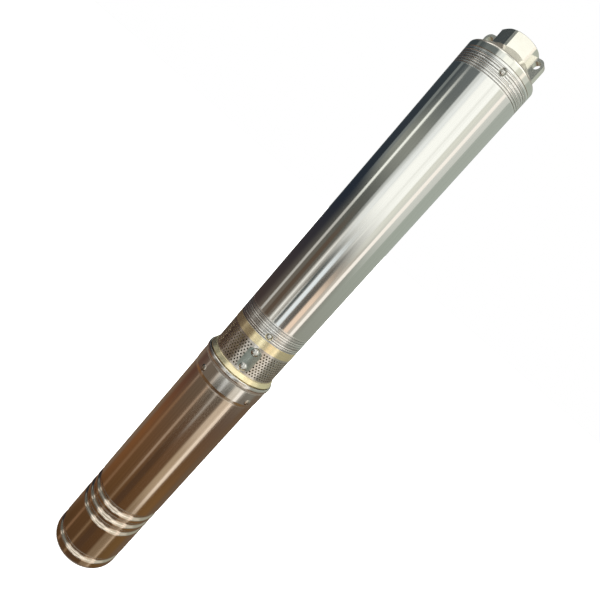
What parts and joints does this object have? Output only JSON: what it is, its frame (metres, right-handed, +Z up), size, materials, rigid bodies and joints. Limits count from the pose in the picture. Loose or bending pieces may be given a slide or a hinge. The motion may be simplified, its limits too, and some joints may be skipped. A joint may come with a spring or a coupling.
{
  "type": "borehole submersible pump",
  "caption": "Slim stainless borehole pump: motor with rolled grooves, perforated intake between brass rings, stage tube and threaded hexagonal outlet with rope lugs.",
  "frame": {"origin": "centre of the flat lip under the motor, the pump standing upright", "axes": "+Z up the pump's axis to the outlet, -Y towards the strainer's clip, the cable leaves towards +Y"},
  "size_m": [0.0986, 0.0986, 0.8345],
  "materials": {
    "motor_stainless": "polished",
    "tube_stainless": "polished",
    "strainer_stainless": "satin",
    "screw_stainless": "polished",
    "brass": "turned",
    "nickelled_brass": "plated, satin",
    "cast_iron": "machined",
    "rubber": "matt",
    "bearing_steel": "ground",
    "shaft_steel": "ground",
    "laminations": "stacked sheet",
    "windings": "varnished copper",
    "seal_ceramic": "lapped",
    "seal_carbon": "lapped carbon in rubber",
    "stage_plastic": "moulded"
  },
  "bodies": {
    "casing": {"motor_shell": "motor_stainless", "pump_tube": "tube_stainless", "strainer": "strainer_stainless", "strainer_clip": "strainer_stainless", "collar_screws": "screw_stainless", "strainer_screws": "screw_stainless", "tube_lock_screws": "screw_stainless", "intake_bolts": "screw_stainless", "intake_housing": "brass", "valve_seat": "brass", "discharge_head": "nickelled_brass", "cable_gland": "nickelled_brass", "bottom_cover": "cast_iron", "lower_bearing_carrier": "cast_iron", "motor_head": "cast_iron", "bottom_o_ring": "rubber", "diaphragm": "rubber", "head_o_ring": "rubber", "shaft_bushes": "rubber", "lower_bearing_outer_race": "bearing_steel", "upper_bearing_outer_race": "bearing_steel", "wear_rings": "shaft_steel", "stack_spacer": "shaft_steel", "valve_spring": "shaft_steel", "stator_core": "laminations", "stator_windings": "windings", "seal_seat": "seal_ceramic", "stage_bowl_1": "stage_plastic", "stage_bowl_2": "stage_plastic", "stage_bowl_3": "stage_plastic", "stage_bowl_4": "stage_plastic", "stage_bowl_5": "stage_plastic", "stage_bowl_6": "stage_plastic", "stage_bowl_7": "stage_plastic", "stage_bowl_8": "stage_plastic", "top_bearing_spider": "stage_plastic", "valve_guide": "stage_plastic"},
    "rotor": {"motor_shaft": "shaft_steel", "rotor_core": "laminations", "lower_bearing_inner_race": "bearing_steel", "upper_bearing_inner_race": "bearing_steel", "rotary_seal": "seal_carbon", "coupling": "shaft_steel", "pump_shaft": "shaft_steel", "shaft_sleeves": "shaft_steel", "impeller_1": "stage_plastic", "impeller_2": "stage_plastic", "impeller_3": "stage_plastic", "impeller_4": "stage_plastic", "impeller_5": "stage_plastic", "impeller_6": "stage_plastic", "impeller_7": "stage_plastic", "impeller_8": "stage_plastic"},
    "lower_ball_set": {"lower_bearing_balls": "bearing_steel"},
    "upper_ball_set": {"upper_bearing_balls": "bearing_steel"},
    "valve": {"valve_poppet": "brass", "valve_seal": "rubber"}
  },
  "joints": [
    {"name": "rotor_spin", "type": "hinge", "parent": "casing", "child": "rotor", "pos_m": [0, 0, 0.2], "axis": [0, 0, 1], "continuous": true},
    {"name": "lower_ball_orbit", "type": "hinge", "parent": "casing", "child": "lower_ball_set", "pos_m": [0, 0, 0.1], "axis": [0, 0, 1], "continuous": true},
    {"name": "upper_ball_orbit", "type": "hinge", "parent": "casing", "child": "upper_ball_set", "pos_m": [0, 0, 0.32], "axis": [0, 0, 1], "continuous": true},
    {"name": "valve_slide", "type": "slide", "parent": "casing", "child": "valve", "axis": [0, 0, 1], "range_m": [0, 0.008], "stiffness_N_per_m": 120, "springref_m": -0.008, "deforming": ["valve_spring"]}
  ],
  "couplings": [
    {"joint": "lower_ball_orbit", "follows": "rotor_spin", "ratio": 0.3789},
    {"joint": "upper_ball_orbit", "follows": "rotor_spin", "ratio": 0.3789}
  ]
}
